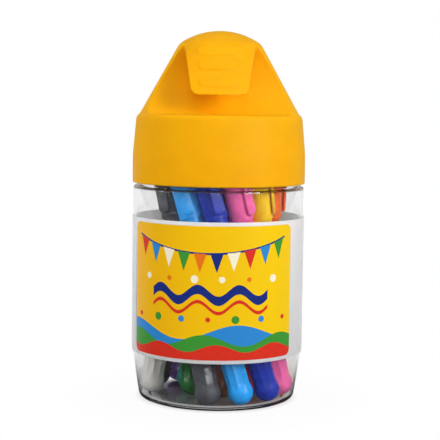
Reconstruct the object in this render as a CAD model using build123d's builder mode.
"""A tub of twist crayons: a clear jar, its wrap label, a lid with a carry grip, and eighteen crayons.

Millimetres, +Z up. The origin is the middle of the jar's foot, and the front of the tub faces -Y.
"""
import os
from math import acos, atan2, cos, degrees, pi, radians, sin, sqrt, tan

from build123d import *

# Jar
jar_radius = 40.0
jar_wall = 1.0
jar_foot_inset = 3.0
jar_taper_height = 22.0
jar_shoulder_bevel = 1.6
jar_foot_bevel = 1.5
neck_inset = 3.1
neck_wall = 1.1
floor_thickness = 1.4

# Label
label_foot_gap = 0.5
label_top_gap = 12.4
label_thickness = 0.25
label_clearance = 0.12
label_seam_angle = -68.0
label_seam_width = 0.6

# Lid skirt
lid_seat_gap = 0.3
neck_clearance = 0.6
skirt_height = 32.0
skirt_edge_gap = 1.3
skirt_straight_height = 13.0
skirt_flare = 1.6
skirt_wall = 1.4
plate_thickness = 1.8
shoulder_bevel = 1.2

# Lid carry grip: a domed cone, scooped front and back, with a finger lip over each scoop
grip_shelf = 1.5
grip_brow_radius = 19.1
grip_brow_height = 32.7
grip_crest_height = 38.7
grip_wall = 1.8
scoop_radius = 24.0
scoop_height = 20.7
web_half_thickness = 7.5
lip_thickness = 2.2
lip_top_half_width = 16.6
lip_bottom_half_width = 12.6
lip_bottom_height = 8.9
lip_corner_round = 3.6
bar_rise = 0.5
bar_sink = 0.5
bar_depth = 4.4
bar_corner = 1.3
bar_widths = (18.6, 19.8, 21.4)
bar_heights = (15.0, 22.6, 29.0)

# Crayon, measured along its own axis from the tip of its twist knob
crayon_length = 124.0
ball_radius = 5.85
knob_length = 24.0
knob_waist_radius = 5.3
knob_waist_length = 10.2
knob_top_radius = 5.55
knob_flats = 10
ball_steps = (22, 55, 90)
knob_gap = 0.2
journal_length = 6.0
journal_clearance = 0.06
screw_radius = 1.6
screw_length = 30.0
screw_clearance = 0.1
barrel_radius = 4.85
barrel_bore_flats = 7.2
barrel_setback = 22.0
cap_length = 36.0
cap_wall = 0.55
cap_clearance = 0.06
cap_crown = 1.4
cap_crown_edge = 1.8
clip_length = 29.5
clip_width = 5.6
clip_thickness = 1.0
clip_standoff = 0.5
clip_root = 4.0
clip_drop = 4.5
clip_corner = 1.8
carrier_clearance = 0.1
carrier_length = 35.0
carrier_roof = 2.0
carrier_start_gap = 1.0
stick_radius = 3.3
stick_cone_length = 4.0
stick_tip_radius = 1.4
stick_setback = 0.5

# How the crayons stand in the jar: two leaning rings round one upright crayon
ring_case_sides = 10
ring_core_sides = 6
crayon_floor_gap = 0.3
crayon_headroom = 5.5
outer_first_angle = -7.0
outer_spread_angle = 282.0
outer_foot_gap = 0.4
outer_top_gap = 0.54
inner_first_angle = 10.0
inner_spacing = 2.5
inner_spread = 0.2
inner_twist_angle = 52.0
ring_spacing = 1.28
outer_clip_angle = 50.0
inner_clip_angle = 90.0
outer_crayons = (
    "grey", "sky", "blue", "pink", "yellow", "orange", "lime", "peach", "violet", "black", "white",
)
inner_crayons = ("brown", "crimson", "magenta", "ochre", "turquoise", "green")
middle_crayon = "red"

# Crayon places, along its own axis
barrel_mouth = crayon_length - barrel_setback
barrel_foot = knob_length + knob_gap
journal_radius = barrel_bore_flats / 2 - journal_clearance
screw_bore_radius = screw_radius + screw_clearance
carrier_foot = knob_length + journal_length + carrier_start_gap
carrier_flats = barrel_bore_flats - 2 * carrier_clearance
cap_mouth = crayon_length - cap_length
cap_bore_radius = barrel_radius + cap_clearance
cap_radius = cap_bore_radius + cap_wall
clip_reach = cap_radius + clip_standoff + clip_thickness
stick_tip = barrel_mouth - stick_setback

# Heights: the jar is as tall as its crayons need, and the lid sits on its rim
ball_z = floor_thickness + crayon_floor_gap + ball_radius
rim_z = floor_thickness + crayon_floor_gap + crayon_length + crayon_headroom
plate_under_z = rim_z + lid_seat_gap
lid_top_z = plate_under_z + plate_thickness
skirt_bottom_z = lid_top_z - skirt_height
jar_shoulder_z = skirt_bottom_z - skirt_edge_gap
label_bottom_z = jar_taper_height + label_foot_gap
label_height = jar_shoulder_z - jar_shoulder_bevel - label_top_gap - label_bottom_z
brow_z = lid_top_z + grip_brow_height
crest_z = lid_top_z + grip_crest_height
scoop_z = lid_top_z + scoop_height

# Radii, from the jar outwards and inwards
jar_foot_radius = jar_radius - jar_foot_inset
neck_radius = jar_radius - neck_inset
neck_bore = neck_radius - neck_wall
lid_bore = neck_radius + neck_clearance
skirt_top_radius = lid_bore + skirt_wall
skirt_radius = skirt_top_radius + skirt_flare
grip_base_radius = skirt_top_radius - grip_shelf

# Grip
scoop_y = web_half_thickness + scoop_radius
crown_rise = crest_z - brow_z
crown_radius = (grip_brow_radius**2 + crown_rise**2) / (2 * crown_rise)
grip_slope = atan2(grip_base_radius - grip_brow_radius, grip_brow_height)
lip_flare = (lip_top_half_width - lip_bottom_half_width) / (grip_brow_height - lip_bottom_height)
lip_reach = 2 * crown_rise

# Rings: the outer crayons stand and lean against the jar, as far round as the inner ring lets them
wall_slope = jar_foot_inset / (jar_taper_height - floor_thickness)
foot_bore = jar_foot_radius - jar_wall + wall_slope * (ball_z - floor_thickness)
outer_foot_radius = foot_bore - ball_radius - outer_foot_gap
outer_top_radius = neck_bore - clip_reach - outer_top_gap
inner_foot_radius = 2 * ball_radius + inner_spacing
inner_top_radius = inner_foot_radius + inner_spread
inner_waist = inner_foot_radius * cos(radians(inner_twist_angle / 2))
outer_waist = inner_waist + 2 * barrel_radius + ring_spacing
outer_twist_angle = degrees(2 * acos(2 * outer_waist / (outer_foot_radius + outer_top_radius)))

os.makedirs("parts", exist_ok=True)


def write(part, name):
    """Label a finished piece and write it as its own file."""
    part.label = name
    export_step(part, f"parts/{name}.step")


def cone_radius(inset, z):
    """The grip cone's radius at height z, drawn in evenly by inset."""
    return grip_base_radius - (z - lid_top_z) * tan(grip_slope) - inset / cos(grip_slope)


def grip_form(inset, foot_z, top_z):
    """The grip's plain cone between two heights, drawn in evenly by inset."""
    with BuildPart() as form:
        with BuildSketch(Plane.XZ):
            with BuildLine():
                Polyline(
                    (0, foot_z),
                    (cone_radius(inset, foot_z), foot_z),
                    (cone_radius(inset, top_z), top_z),
                    (0, top_z),
                    close=True,
                )
            make_face()
        revolve(axis=Axis.Z)
    return form.part


def jar_seat(foot_radius, top_radius, angle, twist, clip_angle):
    """Where one crayon stands: its ball end on the floor, its cap's top turned back by twist degrees."""
    start = radians(angle)
    end = radians(angle - twist)
    ball = Vector(foot_radius * sin(start), -foot_radius * cos(start), ball_z)
    reach = crayon_length - ball_radius
    across = Vector(top_radius * sin(end) - ball.X, -top_radius * cos(end) - ball.Y)
    axis = (across + Vector(0, 0, sqrt(reach**2 - across.length**2))).normalized()
    clip_way = end + radians(clip_angle)
    clip_side = Vector(sin(clip_way), -cos(clip_way))
    return Plane(origin=ball - axis * ball_radius, x_dir=clip_side, z_dir=axis)


def outline(radius, sides):
    """A circle, or a many-sided outline with a flat on the clip's side where sides is not zero."""
    if sides:
        RegularPolygon(radius, sides, rotation=180 / sides)
    else:
        Circle(radius)


def make_knob(sides):
    """Twist knob: a faceted grip with a ball end, a journal that turns in the barrel, and the feed screw."""
    rings = []
    for turn in ball_steps:
        rings.append((ball_radius * (1 - cos(radians(turn))), ball_radius * sin(radians(turn))))
    rings += [(knob_waist_length, knob_waist_radius), (knob_length, knob_top_radius)]
    with BuildPart() as knob:
        for lower, upper in zip(rings, rings[1:]):
            corners = []
            for height, radius in (lower, upper):
                for flat in range(knob_flats):
                    turn = 2 * pi * flat / knob_flats
                    corners.append((radius * cos(turn), radius * sin(turn), height))
            ConvexPolyhedron(corners)
        with BuildSketch(Plane.XY.offset(knob_length)):
            outline(journal_radius, sides)
        extrude(amount=journal_length)
        with BuildSketch(Plane.XY.offset(knob_length + journal_length)):
            outline(screw_radius, sides)
        extrude(amount=screw_length)
    return knob.part


def make_barrel(sides):
    """Barrel: a tube whose six-sided bore keeps the carrier from turning."""
    with BuildPart() as barrel:
        with BuildSketch(Plane.XY.offset(barrel_foot)):
            outline(barrel_radius, sides)
            RegularPolygon(barrel_bore_flats / 2, 6, major_radius=False, mode=Mode.SUBTRACT)
        extrude(amount=barrel_mouth - barrel_foot)
    return barrel.part


def make_cap(sides):
    """Cap: pushes over the barrel's mouth, with a pocket clip down one side."""
    with BuildPart() as cap:
        with BuildSketch(Plane.XY.offset(cap_mouth)):
            outline(cap_radius, sides)
        extrude(amount=cap_length)
        chamfer(cap.edges().group_by(Axis.Z)[-1], length=cap_crown_edge, length2=cap_crown)
        with BuildSketch(Plane.YZ.offset(cap_radius + clip_standoff)) as clip:
            with Locations((0, crayon_length - clip_drop - clip_length / 2)):
                Rectangle(clip_width, clip_length)
            chamfer(clip.vertices(), clip_corner)
        extrude(amount=clip_thickness)
        with BuildSketch(Plane.YZ):
            with Locations((0, crayon_length - clip_drop - clip_corner - clip_root / 2)):
                Rectangle(clip_width, clip_root)
        extrude(amount=cap_radius + clip_standoff)
        with BuildSketch(Plane.XY.offset(cap_mouth)):
            outline(cap_bore_radius, sides)
        extrude(amount=cap_length - cap_crown, mode=Mode.SUBTRACT)
    return cap.part


def make_carrier(sides):
    """Carrier: a six-sided nut on the feed screw that pushes the stick."""
    with BuildPart() as carrier:
        with BuildSketch(Plane.XY.offset(carrier_foot)):
            RegularPolygon(carrier_flats / 2, 6, major_radius=False)
        extrude(amount=carrier_length)
        with BuildSketch(Plane.XY.offset(carrier_foot)):
            outline(screw_bore_radius / cos(pi / sides) if sides else screw_bore_radius, sides)
        extrude(amount=carrier_length - carrier_roof, mode=Mode.SUBTRACT)
    return carrier.part


def make_stick(sides):
    """Stick: the coloured core, bonded to the carrier's roof, with a blunt cone for a tip."""
    with BuildPart() as stick:
        with BuildSketch(Plane.XY.offset(carrier_foot + carrier_length)):
            outline(stick_radius, sides)
        extrude(amount=stick_tip - carrier_foot - carrier_length)
        chamfer(
            stick.edges().group_by(Axis.Z)[-1],
            length=stick_cone_length,
            length2=stick_radius - stick_tip_radius,
        )
    return stick.part


# Jar: a clear tub with a tapered foot, a bevelled shoulder and a plain neck for the lid
with BuildPart() as jar:
    with BuildSketch(Plane.XZ):
        with BuildLine():
            Polyline(
                (0, 0),
                (jar_foot_radius - jar_foot_bevel, 0),
                (jar_foot_radius, jar_foot_bevel),
                (jar_radius, jar_taper_height),
                (jar_radius, jar_shoulder_z - jar_shoulder_bevel),
                (jar_radius - jar_shoulder_bevel, jar_shoulder_z),
                (neck_radius, jar_shoulder_z),
                (neck_radius, rim_z),
                (neck_bore, rim_z),
                (neck_bore, jar_shoulder_z - 2 * jar_wall),
                (jar_radius - jar_wall, jar_shoulder_z - 2 * jar_wall),
                (jar_radius - jar_wall, jar_taper_height),
                (jar_foot_radius - jar_wall, floor_thickness),
                (0, floor_thickness),
                close=True,
            )
        make_face()
    revolve(axis=Axis.Z)
write(jar.part, "jar")

# Label: a printed film sleeve round the straight wall, with one butt seam
with BuildPart() as label:
    label_bore = jar_radius + label_clearance
    with BuildSketch(Plane.XY.offset(label_bottom_z)):
        Circle(label_bore + label_thickness)
        Circle(label_bore, mode=Mode.SUBTRACT)
        with Locations(Rotation(0, 0, label_seam_angle - 90)):
            with Locations((label_bore, 0)):
                Rectangle(label_bore, label_seam_width, mode=Mode.SUBTRACT)
    extrude(amount=label_height)
write(label.part, "label")

# Lid: a hollow grip on a skirt with a top plate
with BuildPart() as lips:
    with BuildSketch(Plane.XZ) as tongue:
        with BuildLine():
            Polyline(
                (-lip_bottom_half_width, lid_top_z + lip_bottom_height),
                (lip_bottom_half_width, lid_top_z + lip_bottom_height),
                (lip_top_half_width + lip_flare * lip_reach, brow_z + lip_reach),
                (-lip_top_half_width - lip_flare * lip_reach, brow_z + lip_reach),
                close=True,
            )
        make_face()
        fillet(tongue.vertices().group_by(Axis.Y)[0], lip_corner_round)
    extrude(amount=grip_base_radius, both=True)
    add(grip_form(lip_thickness, lid_top_z, brow_z), mode=Mode.SUBTRACT)

# The scoops leave the lips standing, so each lip carries on the cone's own surface
with BuildPart() as scoops:
    with BuildSketch(Plane.YZ):
        with Locations((scoop_y, scoop_z), (-scoop_y, scoop_z)):
            Circle(scoop_radius)
    extrude(amount=skirt_radius, both=True)
    add(lips.part, mode=Mode.SUBTRACT)

with BuildPart() as grip:
    with BuildSketch(Plane.XZ):
        with BuildLine():
            Polyline(
                (0, crest_z),
                (0, plate_under_z),
                (cone_radius(0, plate_under_z), plate_under_z),
                (grip_brow_radius, brow_z),
            )
            RadiusArc((grip_brow_radius, brow_z), (0, crest_z), -crown_radius)
        make_face()
    revolve(axis=Axis.Z)
    add(scoops.part, mode=Mode.SUBTRACT)

with BuildPart() as grip_hollow:
    add(grip_form(grip_wall, plate_under_z, brow_z))
    with BuildSketch(Plane.YZ):
        with Locations((scoop_y, scoop_z), (-scoop_y, scoop_z)):
            Circle(scoop_radius + grip_wall)
    extrude(amount=skirt_radius, both=True, mode=Mode.SUBTRACT)

with BuildPart() as bars:
    add(grip_form(-bar_rise, lid_top_z, brow_z))
    add(grip_form(bar_sink, lid_top_z, brow_z), mode=Mode.SUBTRACT)
    with BuildSketch(Plane.XZ) as bar_fronts:
        for width, height in zip(bar_widths, bar_heights):
            with Locations((0, lid_top_z + height)):
                Rectangle(width, bar_depth)
        chamfer(bar_fronts.vertices(), bar_corner)
    extrude(amount=grip_base_radius, both=True, mode=Mode.INTERSECT)

with BuildPart() as lid:
    with BuildSketch(Plane.XZ):
        with BuildLine():
            Polyline(
                (0, skirt_bottom_z),
                (skirt_radius, skirt_bottom_z),
                (skirt_radius, skirt_bottom_z + skirt_straight_height),
                (skirt_top_radius, lid_top_z - shoulder_bevel),
                (skirt_top_radius - shoulder_bevel, lid_top_z),
                (0, lid_top_z),
                close=True,
            )
        make_face()
    revolve(axis=Axis.Z)
    add(grip.part)
    add(bars.part)
    with BuildSketch(Plane.XY.offset(skirt_bottom_z)):
        Circle(lid_bore)
    extrude(amount=plate_under_z - skirt_bottom_z, mode=Mode.SUBTRACT)
    add(grip_hollow.part, mode=Mode.SUBTRACT)
write(lid.part, "lid")

# The crayons in the rings: casing, knob and core each keep their own file
ring_seats = {}
for place, name in enumerate(outer_crayons):
    angle = outer_first_angle + place * outer_spread_angle / (len(outer_crayons) - 1)
    ring_seats[name] = jar_seat(
        outer_foot_radius, outer_top_radius, angle, outer_twist_angle, outer_clip_angle
    )
for place, name in enumerate(inner_crayons):
    angle = inner_first_angle + place * 360 / len(inner_crayons)
    ring_seats[name] = jar_seat(
        inner_foot_radius, inner_top_radius, angle, inner_twist_angle, inner_clip_angle
    )

barrel = make_barrel(ring_case_sides)
cap = make_cap(ring_case_sides)
knob = make_knob(ring_core_sides)
carrier = make_carrier(ring_core_sides)
stick = make_stick(ring_core_sides)
for name, seat in ring_seats.items():
    with BuildPart() as ring_case:
        with Locations(seat):
            add(barrel)
            add(cap)
    write(ring_case.part, f"{name}_case")
    with BuildPart() as ring_knob:
        with Locations(seat):
            add(knob)
    write(ring_knob.part, f"{name}_knob")
    with BuildPart() as ring_core:
        with Locations(seat):
            add(carrier)
            add(stick)
    write(ring_core.part, f"{name}_core")

# The upright crayon in the middle, piece by piece and with true round faces
middle_seat = jar_seat(0, 0, 0, 0, outer_clip_angle)
middle_pieces = {
    "barrel": make_barrel(0),
    "cap": make_cap(0),
    "knob": make_knob(0),
    "carrier": make_carrier(0),
    "stick": make_stick(0),
}
for piece_name, piece in middle_pieces.items():
    with BuildPart() as middle_piece:
        with Locations(middle_seat):
            add(piece)
    write(middle_piece.part, f"{middle_crayon}_{piece_name}")
